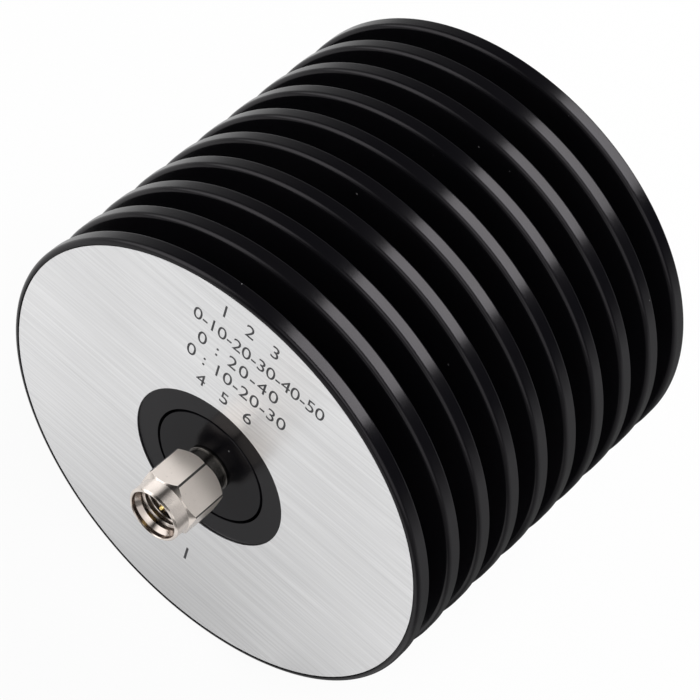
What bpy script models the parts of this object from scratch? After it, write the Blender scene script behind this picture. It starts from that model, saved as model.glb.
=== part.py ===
"""Coaxial radio-frequency attenuator: a finned heat sink with a coupling plug in front and a jack behind.

The axis of the attenuator lies along Y. Stations are distances along it, counted backwards from the
front face of the heat sink. The origin lies on the axis, midway between the ends of the two connectors.
+X is the right of the label plate and +Z its top, as someone who reads the plate sees them.
"""

import math

import bmesh
import bpy
from mathutils import Matrix, Vector

MM = 0.001

# Heat sink: one turning with disc fins and a bore for the core
fin_radius = 32.5 * MM
fin_thickness = 2.15 * MM
fin_gap = 3.7 * MM
fin_count = 10
fin_edge = 0.3 * MM
hub_radius = 13.7 * MM
lip_width = 0.7 * MM
label_recess = 0.3 * MM

# Label plate: a thin ring in the recess of the front fin
plate_thickness = 0.2 * MM
plate_hole_radius = 11.6 * MM
plate_seat = 0.05 * MM
plate_fit = 0.15 * MM

# Core: a turned block with a milled pocket, closed by a cover
core_radius = 8.2 * MM
core_fit = 0.08 * MM
core_edge = 0.15 * MM
cover_seat_height = 1.7 * MM
cover_gap = 0.06 * MM

# Air line: the round channel between the outer and centre conductors
line_radius = 1.46 * MM
conductor_radius = 0.635 * MM

# Attenuator chip on the floor of its channel
chip_length = 20.0 * MM
chip_width = 2.8 * MM
chip_thickness = 0.64 * MM
chip_top_height = -0.1 * MM
chip_seat = 0.05 * MM
chip_side_gap = 0.2 * MM
chip_end_space = 3.0 * MM

# Contact tabs between the chip and the centre conductors
tab_width = 0.5 * MM
tab_thickness = 0.1 * MM
tab_contact_length = 0.8 * MM
tab_slope_length = 0.8 * MM
contact_gap = 0.05 * MM
tail_radius = 0.3 * MM
tail_length = 1.2 * MM

# Screws of the cover
cover_screw_radius = 1.0 * MM
cover_screw_head_radius = 1.9 * MM
cover_screw_head_height = 1.9 * MM
cover_screw_length = 5.0 * MM
cover_screw_inset = 4.0 * MM
cover_screw_end_distance = 4.5 * MM
cover_screw_head_depth = 0.28 * MM
cover_screw_socket = 1.5 * MM
cover_screw_socket_depth = 1.0 * MM
cover_screw_tip_space = 0.5 * MM

# Set screws through the hub
set_screw_radius = 1.5 * MM
set_screw_length = 5.0 * MM
set_screw_socket = 1.5 * MM
set_screw_socket_depth = 2.0 * MM
set_screw_front_groove = 1
set_screw_rear_groove = 7
screw_edge = 0.2 * MM
screw_fit = 0.08 * MM
screw_seat = 0.06 * MM

# Connector bodies: spigots in the core, beads at their inner ends
spigot_radius = 2.75 * MM
spigot_length = 5.0 * MM
spigot_fit = 0.08 * MM
body_seat = 0.06 * MM
body_edge = 0.12 * MM
bead_radius = 1.95 * MM
bead_length = 1.5 * MM
bead_fit = 0.06 * MM
bead_neck_radius = 0.5 * MM

# Plug in front
plug_collar_radius = 3.15 * MM
plug_collar_thickness = 0.4 * MM
plug_neck_radius = 2.95 * MM
plug_neck_length = 1.42 * MM
journal_radius = 2.7 * MM
journal_length = 2.95 * MM
sleeve_radius = 2.3 * MM
sleeve_length = 2.1 * MM
pin_radius = 0.46 * MM
pin_reach = 2.0 * MM
pin_tip_radius = 0.2 * MM
pin_tip_length = 0.45 * MM

# Retaining ring between the journal and the nut
ring_thickness = 0.5 * MM
ring_inner_radius = 2.5 * MM
ring_outer_radius = 3.0 * MM
ring_mouth = 1.0 * MM
ring_fit = 0.08 * MM
ring_setback = 1.35 * MM

# Coupling nut
nut_width = 8.0 * MM
nut_length = 8.2 * MM
nut_nose_length = 2.2 * MM
nut_nose_relief = 0.15 * MM
nut_corner_height = 0.6 * MM
nut_corner_flat = 0.05 * MM
nut_front_edge = 0.25 * MM
nut_gap = 0.3 * MM
nut_running_fit = 0.09 * MM
nut_rear_bore_length = 2.3 * MM
nut_relief_radius = 3.2 * MM
nut_relief_length = 0.6 * MM
nut_thread_radius = 2.88 * MM
nut_mouth_radius = 3.4 * MM
nut_mouth_length = 0.9 * MM
nut_turn = math.radians(20.0)

# Jack behind
jack_collar_radius = 3.5 * MM
jack_collar_thickness = 0.8 * MM
jack_relief_radius = 2.75 * MM
jack_relief_length = 0.9 * MM
jack_thread_radius = 3.15 * MM
jack_thread_length = 6.6 * MM
jack_front_edge = 0.3 * MM
jack_mouth_radius = 2.34 * MM
jack_mouth_depth = 1.95 * MM
socket_hole_radius = 0.48 * MM
socket_hole_depth = 2.6 * MM
socket_slot_width = 0.16 * MM
socket_slot_length = 1.9 * MM
socket_setback = 0.06 * MM

# How round the turned shapes are
fin_segments = 56
core_segments = 32
body_segments = 28
fine_segments = 16
hex_segments = 6
EDGE_ANGLE = math.radians(30.0)
MERGE_DISTANCE = 0.000001
OVERCUT = 0.5 * MM

# Stations worked out from the sizes above
fin_pitch = fin_thickness + fin_gap
sink_length = fin_count * fin_thickness + (fin_count - 1) * fin_gap
core_front = label_recess
core_rear = sink_length
core_middle = (core_front + core_rear) / 2
channel_length = chip_length + 2 * chip_end_space
channel_front = core_middle - channel_length / 2
channel_rear = core_middle + channel_length / 2

cover_screw_side = core_radius - cover_screw_inset
cover_screw_outer_edge = cover_screw_side + cover_screw_head_radius
cover_screw_top = math.sqrt(core_radius**2 - cover_screw_outer_edge**2) - cover_screw_head_depth
cover_screw_seat_height = cover_screw_top - cover_screw_head_height

plug_seat = core_front - body_seat
plug_neck_front = plug_seat - plug_collar_thickness - plug_neck_length
journal_front = plug_neck_front - journal_length
plug_plane = journal_front - sleeve_length
nut_rear = plug_neck_front - nut_gap
nut_front = nut_rear - nut_length

jack_seat = core_rear + body_seat
jack_relief_rear = jack_seat + jack_collar_thickness + jack_relief_length
jack_rear = jack_relief_rear + jack_thread_length
jack_plane = jack_rear - jack_mouth_depth

middle_station = (nut_front + jack_rear) / 2


def start_empty():
    """Clear the scene and return the collections for the parts and for the cutters."""
    for old in list(bpy.data.objects):
        bpy.data.objects.remove(old)
    made = []
    for name in ("rf_attenuator", "cutters"):
        collection = bpy.data.collections.new(name)
        bpy.context.scene.collection.children.link(collection)
        made.append(collection)
    return made


parts, cutters = start_empty()
base = bpy.data.objects.new("attenuator_axis", None)
parts.objects.link(base)


def material(name, colour, roughness, metallic):
    """A Principled material with one colour."""
    made = bpy.data.materials.new(name)
    made.use_nodes = True
    shader = made.node_tree.nodes["Principled BSDF"]
    shader.inputs["Base Color"].default_value = (*colour, 1.0)
    shader.inputs["Roughness"].default_value = roughness
    shader.inputs["Metallic"].default_value = metallic
    return made


def at(station, side=0.0, height=0.0):
    """The point at a station, off the axis by a distance to the right and a height."""
    return Vector((side, station - middle_station, height))


def place(thing, location, finish):
    """Put a part among the parts, held by the axis empty, or a cutter among the cutters."""
    thing.location = location
    if finish is None:
        cutters.objects.link(thing)
        thing.hide_render = True
        thing.display_type = "WIRE"
    else:
        parts.objects.link(thing)
        thing.data.materials.append(finish)
    thing.parent = base
    return thing


def turned(name, outline, segments, location, finish=None, axis="Y"):
    """A solid of revolution from (radius, distance along the axis) points.

    The points run along the outside in the direction of the axis, then back along the bore. An outline
    that starts and ends on the axis stays open there.
    """
    mesh = bpy.data.meshes.new(name)
    points = []
    for radius, along in reversed(outline):
        points.append((radius, along, 0.0) if axis == "Y" else (radius, 0.0, along))
    edges = [(i, i + 1) for i in range(len(points) - 1)]
    if outline[0][0] > 0.0:
        edges.append((len(points) - 1, 0))
    mesh.from_pydata(points, edges, [])
    thing = bpy.data.objects.new(name, mesh)
    screw = thing.modifiers.new("Turn", "SCREW")
    screw.axis = axis
    screw.steps = segments
    screw.render_steps = segments
    screw.use_merge_vertices = True
    screw.merge_threshold = MERGE_DISTANCE
    return place(thing, location, finish)


def box(name, size, location, finish=None):
    """A box of the given size, centred on its location."""
    mesh = bpy.data.meshes.new(name)
    shape = bmesh.new()
    bmesh.ops.create_cube(shape, size=1.0)
    bmesh.ops.scale(shape, vec=size, verts=shape.verts)
    shape.to_mesh(mesh)
    shape.free()
    return place(bpy.data.objects.new(name, mesh), location, finish)


def prism(name, across_flats, sides, length, turn, location, finish=None):
    """An upright prism with regular sides, turned by a matrix about its middle."""
    mesh = bpy.data.meshes.new(name)
    shape = bmesh.new()
    corner = across_flats / 2 / math.cos(math.pi / sides)
    bmesh.ops.create_cone(shape, cap_ends=True, segments=sides, radius1=corner, radius2=corner, depth=length)
    bmesh.ops.transform(shape, matrix=turn, verts=shape.verts)
    shape.to_mesh(mesh)
    shape.free()
    return place(bpy.data.objects.new(name, mesh), location, finish)


def combine(target, other, operation="DIFFERENCE"):
    """Cut the target by another object, or keep what they share."""
    step = target.modifiers.new(other.name, "BOOLEAN")
    step.operation = operation
    step.object = other
    step.solver = "EXACT"


UPRIGHT = Matrix.Identity(4)

black_anodised = material("black_anodised", (0.018, 0.018, 0.02), 0.38, 0.55)
brushed_plate = material("brushed_plate", (0.62, 0.62, 0.6), 0.36, 0.85)
core_metal = material("core_metal", (0.72, 0.52, 0.26), 0.34, 1.0)
core_black = material("core_black", (0.02, 0.02, 0.021), 0.45, 0.4)
nickel = material("nickel", (0.6, 0.56, 0.51), 0.26, 1.0)
bright_steel = material("bright_steel", (0.58, 0.55, 0.5), 0.22, 1.0)
gold = material("gold", (0.85, 0.58, 0.22), 0.2, 1.0)
spring_steel = material("spring_steel", (0.4, 0.38, 0.35), 0.32, 1.0)
screw_steel = material("screw_steel", (0.3, 0.3, 0.31), 0.35, 1.0)
ceramic = material("ceramic", (0.86, 0.84, 0.78), 0.55, 0.0)
bead_plastic = material("bead_plastic", (0.88, 0.86, 0.8), 0.42, 0.0)


def heat_sink():
    """The finned turning, with a lip and a recess in front and a set screw hole in two grooves."""
    bore = core_radius + core_fit
    rim = fin_radius - fin_edge
    recess = fin_radius - lip_width
    outline = [
        (bore, label_recess + core_edge),
        (bore + core_edge, label_recess),
        (recess, label_recess),
        (recess, 0.0),
        (rim, 0.0),
    ]
    for fin in range(fin_count):
        front = fin * fin_pitch
        back = front + fin_thickness
        if fin > 0:
            outline += [(hub_radius, front - fin_gap), (hub_radius, front), (rim, front)]
        outline += [(fin_radius, front + fin_edge), (fin_radius, back - fin_edge), (rim, back)]
    outline += [(bore + core_edge, sink_length), (bore, sink_length - core_edge)]
    sink = turned("heat_sink", outline, fin_segments, at(0.0), black_anodised)
    for groove in (set_screw_front_groove, set_screw_rear_groove):
        hole_width = 2 * (set_screw_radius + screw_fit)
        wall = hub_radius - bore
        hole = prism(
            f"set_screw_hole_{groove}",
            hole_width,
            fine_segments,
            wall + 2 * OVERCUT,
            UPRIGHT,
            at(groove_middle(groove), height=-(bore + wall / 2)),
        )
        combine(sink, hole)


def groove_middle(groove):
    """The station in the middle of a groove, counted from 0 behind the first fin."""
    return groove * fin_pitch + fin_thickness + fin_gap / 2


def label_plate():
    """The thin brushed ring in the recess."""
    back = label_recess - plate_seat
    front = back - plate_thickness
    outer = fin_radius - lip_width - plate_fit
    outline = [(outer, front), (outer, back), (plate_hole_radius, back), (plate_hole_radius, front)]
    turned("label_plate", outline, fin_segments, at(0.0), brushed_plate)


def cover_screw_places():
    """Each cover screw's station and side."""
    for station in (channel_front + cover_screw_end_distance, channel_rear - cover_screw_end_distance):
        for side in (-cover_screw_side, cover_screw_side):
            yield station, side


def core_blank(name, front, rear, finish):
    """A round bar with broken edges."""
    outline = [
        (0.0, front),
        (core_radius - core_edge, front),
        (core_radius, front + core_edge),
        (core_radius, rear - core_edge),
        (core_radius - core_edge, rear),
        (0.0, rear),
    ]
    return turned(name, outline, core_segments, at(0.0), finish)


def core_base():
    """The block that carries the chip and both connectors, open at the top over the channel."""
    block = core_blank("core_base", core_front, core_rear, core_black)
    spigot_hole = spigot_radius + spigot_fit
    spigot_depth = spigot_length + body_seat
    sockets = (
        ("input_socket_cut", core_front - OVERCUT, core_front + spigot_depth, channel_front + OVERCUT),
        ("output_socket_cut", core_rear + OVERCUT, core_rear - spigot_depth, channel_rear - OVERCUT),
    )
    for name, mouth, floor, end in sockets:
        outline = [(0.0, mouth), (spigot_hole, mouth), (spigot_hole, floor), (line_radius, floor)]
        outline += [(line_radius, end), (0.0, end)]
        if mouth > end:
            outline.reverse()
        combine(block, turned(name, outline, body_segments, at(0.0)))
    pocket_height = core_radius + OVERCUT - cover_seat_height
    pocket = box(
        "pocket_cut",
        (2 * (core_radius + OVERCUT), channel_length, pocket_height),
        at(core_middle, height=cover_seat_height + pocket_height / 2),
    )
    combine(block, pocket)
    channel_floor = chip_top_height - chip_thickness - chip_seat
    channel_height = cover_seat_height + OVERCUT - channel_floor
    channel = box(
        "channel_cut",
        (chip_width + 2 * chip_side_gap, channel_length, channel_height),
        at(core_middle, height=channel_floor + channel_height / 2),
    )
    combine(block, channel)
    screw_end = cover_screw_seat_height - cover_screw_length - cover_screw_tip_space
    hole_height = cover_seat_height + OVERCUT - screw_end
    for number, (station, side) in enumerate(cover_screw_places(), start=1):
        hole = prism(
            f"screw_thread_hole_{number}",
            2 * (cover_screw_radius + screw_fit),
            fine_segments,
            hole_height,
            UPRIGHT,
            at(station, side, screw_end + hole_height / 2),
        )
        combine(block, hole)


def core_cover():
    """The lid of the pocket, with a counterbored hole for each screw."""
    lid = core_blank("core_cover", channel_front + cover_gap, channel_rear - cover_gap, core_metal)
    underside = cover_seat_height + cover_gap
    waste_height = core_radius + OVERCUT + underside
    waste = box(
        "cover_waste",
        (2 * (core_radius + OVERCUT), channel_length + 2 * OVERCUT, waste_height),
        at(core_middle, height=underside - waste_height / 2),
    )
    combine(lid, waste)
    hole = cover_screw_radius + screw_fit
    counterbore = cover_screw_head_radius + screw_fit
    for number, (station, side) in enumerate(cover_screw_places(), start=1):
        outline = [
            (0.0, underside - OVERCUT),
            (hole, underside - OVERCUT),
            (hole, cover_screw_seat_height - screw_seat),
            (counterbore, cover_screw_seat_height - screw_seat),
            (counterbore, core_radius + OVERCUT),
            (0.0, core_radius + OVERCUT),
        ]
        name = f"screw_clearance_{number}"
        combine(lid, turned(name, outline, fine_segments, at(station, side), axis="Z"))


def cover_screws():
    """Four socket head screws that hold the cover down."""
    tip = cover_screw_seat_height - cover_screw_length
    top = cover_screw_top
    for number, (station, side) in enumerate(cover_screw_places(), start=1):
        outline = [
            (0.0, tip),
            (cover_screw_radius - screw_edge, tip),
            (cover_screw_radius, tip + screw_edge),
            (cover_screw_radius, cover_screw_seat_height),
            (cover_screw_head_radius, cover_screw_seat_height),
            (cover_screw_head_radius, top - screw_edge),
            (cover_screw_head_radius - screw_edge, top),
            (0.0, top),
        ]
        screw = turned(
            f"cover_screw_{number}", outline, fine_segments, at(station, side), screw_steel, "Z"
        )
        socket = prism(
            f"cover_screw_socket_{number}",
            cover_screw_socket,
            hex_segments,
            2 * cover_screw_socket_depth,
            UPRIGHT,
            at(station, side, top),
        )
        combine(screw, socket)


def set_screws():
    """Two screws in the hub, each with its point on the core and its socket in a groove."""
    point = -(core_radius + screw_seat + core_fit)
    end = point - set_screw_length
    grooves = {"set_screw_front": set_screw_front_groove, "set_screw_rear": set_screw_rear_groove}
    for name, groove in grooves.items():
        outline = [
            (0.0, end),
            (set_screw_radius - screw_edge, end),
            (set_screw_radius, end + screw_edge),
            (set_screw_radius, point - screw_edge),
            (set_screw_radius - screw_edge, point),
            (0.0, point),
        ]
        station = groove_middle(groove)
        screw = turned(name, outline, fine_segments, at(station), screw_steel, "Z")
        socket = prism(
            f"{name}_socket",
            set_screw_socket,
            hex_segments,
            2 * set_screw_socket_depth,
            UPRIGHT,
            at(station, height=end),
        )
        combine(screw, socket)


def attenuator_chip():
    """The ceramic plate on the floor of the channel."""
    box(
        "attenuator_chip",
        (chip_width, chip_length, chip_thickness),
        at(core_middle, height=chip_top_height - chip_thickness / 2),
        ceramic,
    )


def contact_tabs():
    """Thin strips that step down from each centre conductor to the chip."""
    upper = tail_radius + contact_gap
    lower = chip_top_height + contact_gap
    chip_end = chip_length / 2
    slope_start = chip_end + tab_slope_length
    tail_end = channel_length / 2 - tail_length
    far_end = max(tail_end, slope_start) + tab_contact_length
    outline = [
        (chip_end - tab_contact_length, lower),
        (chip_end, lower),
        (slope_start, upper),
        (far_end, upper),
    ]
    outline += [(along, height + tab_thickness) for along, height in reversed(outline)]
    for name, way in (("input_tab", -1.0), ("output_tab", 1.0)):
        curve = bpy.data.curves.new(name, "CURVE")
        curve.dimensions = "2D"
        curve.fill_mode = "BOTH"
        curve.extrude = tab_width / 2
        spline = curve.splines.new("POLY")
        spline.points.add(len(outline) - 1)
        for point, (along, height) in zip(spline.points, outline):
            point.co = (way * along, height, 0.0, 1.0)
        spline.use_cyclic_u = True
        strip = place(bpy.data.objects.new(name, curve), at(core_middle), gold)
        strip.rotation_euler = (math.radians(90.0), 0.0, math.radians(90.0))


def bead(name, inner_end, outer_end):
    """The insulator ring in the inner end of a connector body, around the neck of its conductor."""
    outer = bead_radius - bead_fit
    inner = bead_neck_radius + bead_fit
    front = min(inner_end, outer_end)
    back = max(inner_end, outer_end)
    outline = [(outer, front), (outer, back), (inner, back), (inner, front)]
    turned(name, outline, fine_segments, at(0.0), bead_plastic)


def conductor_back(spigot_end, way):
    """The inner part of a centre conductor, from the outer side of its bead to the tip of its tail.

    Way is 1 for a conductor that runs backwards into the core, and -1 for one that runs forwards.
    """
    bead_outer = spigot_end - way * (bead_length + bead_fit)
    bead_inner = spigot_end + way * bead_fit
    tail_tip = core_middle - way * (channel_length / 2 - tail_length)
    tail_start = core_middle - way * (channel_length / 2 - contact_gap)
    return [
        (conductor_radius, bead_outer),
        (bead_neck_radius, bead_outer),
        (bead_neck_radius, bead_inner),
        (conductor_radius, bead_inner),
        (conductor_radius, tail_start),
        (tail_radius, tail_start),
        (tail_radius, tail_tip),
        (0.0, tail_tip),
    ]


def input_plug():
    """The body, bead and pin of the plug."""
    spigot_end = plug_seat + spigot_length
    bead_seat = spigot_end - bead_length
    neck_back = plug_seat - plug_collar_thickness
    groove_front = nut_rear - ring_setback - ring_thickness - ring_fit
    groove_back = nut_rear - ring_setback + ring_fit
    groove_radius = ring_inner_radius - ring_fit
    outline = [
        (sleeve_radius - body_edge, plug_plane),
        (sleeve_radius, plug_plane + body_edge),
        (sleeve_radius, journal_front),
        (journal_radius - body_edge, journal_front),
        (journal_radius, journal_front + body_edge),
        (journal_radius, groove_front),
        (groove_radius, groove_front),
        (groove_radius, groove_back),
        (journal_radius, groove_back),
        (journal_radius, plug_neck_front),
        (plug_neck_radius - body_edge, plug_neck_front),
        (plug_neck_radius, plug_neck_front + body_edge),
        (plug_neck_radius, neck_back),
        (plug_collar_radius - body_edge, neck_back),
        (plug_collar_radius, neck_back + body_edge),
        (plug_collar_radius, plug_seat),
        (spigot_radius, plug_seat),
        (spigot_radius, spigot_end - body_edge),
        (spigot_radius - body_edge, spigot_end),
        (bead_radius, spigot_end),
        (bead_radius, bead_seat),
        (line_radius, bead_seat),
        (line_radius, plug_plane),
    ]
    turned("plug_body", outline, body_segments, at(0.0), bright_steel)
    bead("input_bead", spigot_end - bead_fit, bead_seat + bead_fit)
    tip = plug_plane - pin_reach
    shoulder = plug_plane + socket_setback
    outline = [
        (0.0, tip),
        (pin_tip_radius, tip),
        (pin_radius, tip + pin_tip_length),
        (pin_radius, shoulder),
        (conductor_radius, shoulder),
    ]
    outline += conductor_back(spigot_end, 1.0)
    turned("input_pin", outline, fine_segments, at(0.0), gold)


def retaining_ring():
    """The split ring, half in the journal's groove and half in the nut's."""
    back = nut_rear - ring_setback
    front = back - ring_thickness
    outline = [
        (ring_outer_radius, front),
        (ring_outer_radius, back),
        (ring_inner_radius, back),
        (ring_inner_radius, front),
    ]
    ring = turned("retaining_ring", outline, body_segments, at(0.0), spring_steel)
    mouth = box(
        "ring_mouth_cut",
        (ring_mouth, ring_thickness + 2 * OVERCUT, 2 * ring_outer_radius),
        at((front + back) / 2, height=-ring_outer_radius - OVERCUT),
    )
    combine(ring, mouth)


def coupling_nut():
    """A hexagon with turned corners, a round nose and a stepped bore. Its origin is on its axis."""
    corner = nut_width / 2 / math.cos(math.pi / hex_segments) - nut_corner_flat
    nose = nut_width / 2 - nut_nose_relief
    hex_front = nut_nose_length - nut_length
    outline = [
        (0.0, -nut_length),
        (nose - nut_front_edge, -nut_length),
        (nose, nut_front_edge - nut_length),
        (nose, hex_front),
        (corner, hex_front + nut_corner_height),
        (corner, -nut_corner_height),
        (nose, 0.0),
        (0.0, 0.0),
    ]
    nut = turned("coupling_nut", outline, core_segments, at(nut_rear), nickel)
    turn = Matrix.Rotation(nut_turn, 4, "Z")
    stock = prism(
        "nut_hexagon",
        nut_width,
        hex_segments,
        nut_length + 2 * OVERCUT,
        Matrix.Rotation(math.radians(90.0), 4, "X") @ turn,
        at(nut_rear - nut_length / 2),
    )
    combine(nut, stock, "INTERSECT")
    rear_bore = journal_radius + nut_running_fit
    groove_back = ring_fit - ring_setback
    groove_front = -ring_setback - ring_thickness - ring_fit
    groove_radius = ring_outer_radius + nut_running_fit
    relief_front = -nut_rear_bore_length - nut_relief_length
    mouth_floor = nut_mouth_length - nut_length
    outline = [
        (0.0, -nut_length - OVERCUT),
        (nut_mouth_radius, -nut_length - OVERCUT),
        (nut_mouth_radius, mouth_floor),
        (nut_thread_radius, mouth_floor),
        (nut_thread_radius, relief_front),
        (nut_relief_radius, relief_front),
        (nut_relief_radius, -nut_rear_bore_length),
        (rear_bore, -nut_rear_bore_length),
        (rear_bore, groove_front),
        (groove_radius, groove_front),
        (groove_radius, groove_back),
        (rear_bore, groove_back),
        (rear_bore, OVERCUT),
        (0.0, OVERCUT),
    ]
    combine(nut, turned("nut_bore", outline, body_segments, at(nut_rear)))


def output_jack():
    """The body, bead and slotted socket of the jack."""
    spigot_end = jack_seat - spigot_length
    bead_seat = spigot_end + bead_length
    collar_back = jack_seat + jack_collar_thickness
    outline = [
        (bead_radius, spigot_end),
        (spigot_radius - body_edge, spigot_end),
        (spigot_radius, spigot_end + body_edge),
        (spigot_radius, jack_seat),
        (jack_collar_radius, jack_seat),
        (jack_collar_radius, collar_back - body_edge),
        (jack_collar_radius - body_edge, collar_back),
        (jack_relief_radius, collar_back),
        (jack_relief_radius, jack_relief_rear - jack_front_edge),
        (jack_thread_radius, jack_relief_rear),
        (jack_thread_radius, jack_rear - jack_front_edge),
        (jack_thread_radius - jack_front_edge, jack_rear),
        (jack_mouth_radius, jack_rear),
        (jack_mouth_radius, jack_plane),
        (line_radius, jack_plane),
        (line_radius, bead_seat),
        (bead_radius, bead_seat),
    ]
    turned("jack_body", outline, body_segments, at(0.0), bright_steel)
    bead("output_bead", spigot_end + bead_fit, bead_seat - bead_fit)
    mouth = jack_plane - socket_setback
    floor = mouth - socket_hole_depth
    outline = list(reversed(conductor_back(spigot_end, -1.0)))
    outline += [
        (conductor_radius, mouth),
        (socket_hole_radius, mouth),
        (socket_hole_radius, floor),
        (0.0, floor),
    ]
    socket = turned("output_socket", outline, fine_segments, at(0.0), gold)
    slot_length = socket_slot_length + OVERCUT
    slot_middle = mouth + OVERCUT - slot_length / 2
    wide = 2 * (conductor_radius + OVERCUT)
    sizes = {
        "upright": (socket_slot_width, slot_length, wide),
        "level": (wide, slot_length, socket_slot_width),
    }
    for name, size in sizes.items():
        combine(socket, box(f"socket_slot_{name}", size, at(slot_middle)))


def settle(thing):
    """Keep the shape that the steps give as the part's own mesh, smooth except at its edges."""
    if not thing.modifiers:
        return
    shaped = thing.evaluated_get(bpy.context.evaluated_depsgraph_get())
    mesh = bpy.data.meshes.new_from_object(shaped)
    thing.modifiers.clear()
    thing.data = mesh
    mesh.shade_smooth()
    mesh.set_sharp_from_angle(angle=EDGE_ANGLE)


heat_sink()
label_plate()
core_base()
core_cover()
cover_screws()
set_screws()
attenuator_chip()
contact_tabs()
input_plug()
retaining_ring()
coupling_nut()
output_jack()
for piece in list(parts.objects):
    settle(piece)
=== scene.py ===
"""Looks of the coaxial attenuator: the turned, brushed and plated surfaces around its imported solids."""

import math

import bmesh
import bpy
from mathutils import Euler, Matrix, Vector


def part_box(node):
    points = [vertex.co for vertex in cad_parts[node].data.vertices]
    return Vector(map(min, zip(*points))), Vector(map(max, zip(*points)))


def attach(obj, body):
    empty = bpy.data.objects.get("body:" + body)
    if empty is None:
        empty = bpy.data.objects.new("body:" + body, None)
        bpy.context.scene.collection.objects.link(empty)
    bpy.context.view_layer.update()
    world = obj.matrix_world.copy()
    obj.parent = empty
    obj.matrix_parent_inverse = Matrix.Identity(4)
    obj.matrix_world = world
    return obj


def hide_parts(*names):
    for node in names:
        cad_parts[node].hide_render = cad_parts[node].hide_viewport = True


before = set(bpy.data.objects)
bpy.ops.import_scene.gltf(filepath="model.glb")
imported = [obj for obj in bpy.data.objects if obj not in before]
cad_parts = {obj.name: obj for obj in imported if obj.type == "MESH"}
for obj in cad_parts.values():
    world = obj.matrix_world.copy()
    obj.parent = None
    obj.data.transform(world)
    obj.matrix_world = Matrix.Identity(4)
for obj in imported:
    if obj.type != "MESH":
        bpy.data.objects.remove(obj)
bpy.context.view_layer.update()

# Lengths are in metres, and a station is a place along Y behind the front of the heat sink
MM = 0.001
BODY = "attenuator_body"
NUT = "nut"

# Places and sizes read from the frame
sink_low, sink_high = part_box("heat_sink")
FRONT = sink_low.y
SINK_LENGTH = sink_high.y - sink_low.y
FIN_RADIUS = sink_high.x
plug_low, plug_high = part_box("plug_body")
jack_low, jack_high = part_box("jack_body")
nut_low, nut_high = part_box("coupling_nut")
core_low, core_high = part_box("core_base")
pin_low, pin_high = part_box("input_pin")
plate_low, plate_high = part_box("label_plate")
ring_low, ring_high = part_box("retaining_ring")

# Heat sink and plate
FIN_THICKNESS = 2.15 * MM
FIN_GAP = 3.7 * MM
FIN_COUNT = 10
FIN_FRONT_ROUND = 0.6 * MM
FIN_REAR_ROUND = 0.3 * MM
HUB_RADIUS = 13.7 * MM
LIP_WIDTH = 0.7 * MM
LABEL_RECESS = 0.3 * MM
PLATE_HOLE_RADIUS = 11.6 * MM

# Core
CORE_RADIUS = core_high.x
CORE_FIT = 0.08 * MM
CORE_EDGE = 0.17 * MM
CORE_LEAD = 0.6 * MM
SCREW_FIT = 0.08 * MM
COVER_GAP = 0.06 * MM
CHIP_SEAT = 0.05 * MM
CHIP_SIDE_GAP = 0.2 * MM
SPIGOT_FIT = 0.08 * MM
BODY_SEAT = 0.06 * MM
SCREW_TIP_SPACE = 0.5 * MM
COVER_SCREW_RADIUS = 1.0 * MM
COVER_SCREW_COUNT = 4
OVERCUT = 0.5 * MM

# Plug body
COLLAR_RADIUS = plug_high.x
LINE_RADIUS = 1.46 * MM
SPIGOT_RADIUS = 2.75 * MM
NECK_RADIUS = 2.95 * MM
JOURNAL_RADIUS = 2.7 * MM
SLEEVE_RADIUS = 2.3 * MM
NECK_LENGTH = 1.42 * MM
COLLAR_THICKNESS = 0.4 * MM
JOURNAL_LENGTH = 2.95 * MM
BEAD_FIT = 0.06 * MM
RING_FIT = 0.08 * MM
RING_GROOVE_RADIUS = 2.42 * MM
BODY_EDGE = 0.05 * MM

# Input pin
CONDUCTOR_RADIUS = 0.635 * MM
PIN_RADIUS = 0.46 * MM
PIN_TIP_RADIUS = 0.2 * MM
PIN_TIP_LENGTH = 0.45 * MM
PIN_SETBACK = 0.06 * MM
BEAD_NECK_RADIUS = 0.5 * MM
TAIL_RADIUS = 0.3 * MM
TAIL_LENGTH = 1.2 * MM
CONTACT_GAP = 0.05 * MM

# Coupling nut
NUT_WIDTH = 8.0 * MM
NUT_LENGTH = nut_high.y - nut_low.y
NUT_NOSE_LENGTH = 2.2 * MM
NUT_NOSE_RELIEF = 0.15 * MM
NUT_NOSE_RADIUS = NUT_WIDTH / 2 - NUT_NOSE_RELIEF
NUT_CORNER_HEIGHT = 0.6 * MM
NUT_CORNER_FLAT = 0.05 * MM
NUT_FRONT_EDGE = 0.25 * MM
NUT_REAR_BORE = 2.79 * MM
NUT_REAR_BORE_LENGTH = 2.3 * MM
NUT_RELIEF_RADIUS = 3.2 * MM
NUT_RELIEF_LENGTH = 0.6 * MM
NUT_RUNNING_FIT = 0.09 * MM
NUT_THREAD_CREST = 2.88 * MM
NUT_THREAD_ROOT = 3.175 * MM
NUT_MOUTH_RADIUS = 3.4 * MM
NUT_MOUTH_LENGTH = 0.6 * MM
NUT_LEAD_LENGTH = 0.65 * MM
NUT_LEAD_RADIUS = 2.93 * MM
NUT_MOUTH_EDGE = 0.12 * MM
NUT_TURN = math.radians(20.0)
NUT_SECTOR = math.radians(60.0)
NUT_CORNER_ROUND = math.radians(1.5)

# Jack body
JACK_COLLAR_THICKNESS = 0.8 * MM
JACK_RELIEF_RADIUS = 2.75 * MM
JACK_RELIEF_LENGTH = 0.9 * MM
JACK_THREAD_CREST = 3.15 * MM
JACK_THREAD_ROOT = 2.8 * MM
JACK_FRONT_EDGE = 0.3 * MM
JACK_MOUTH_RADIUS = 2.34 * MM
JACK_MOUTH_DEPTH = 1.95 * MM

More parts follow.
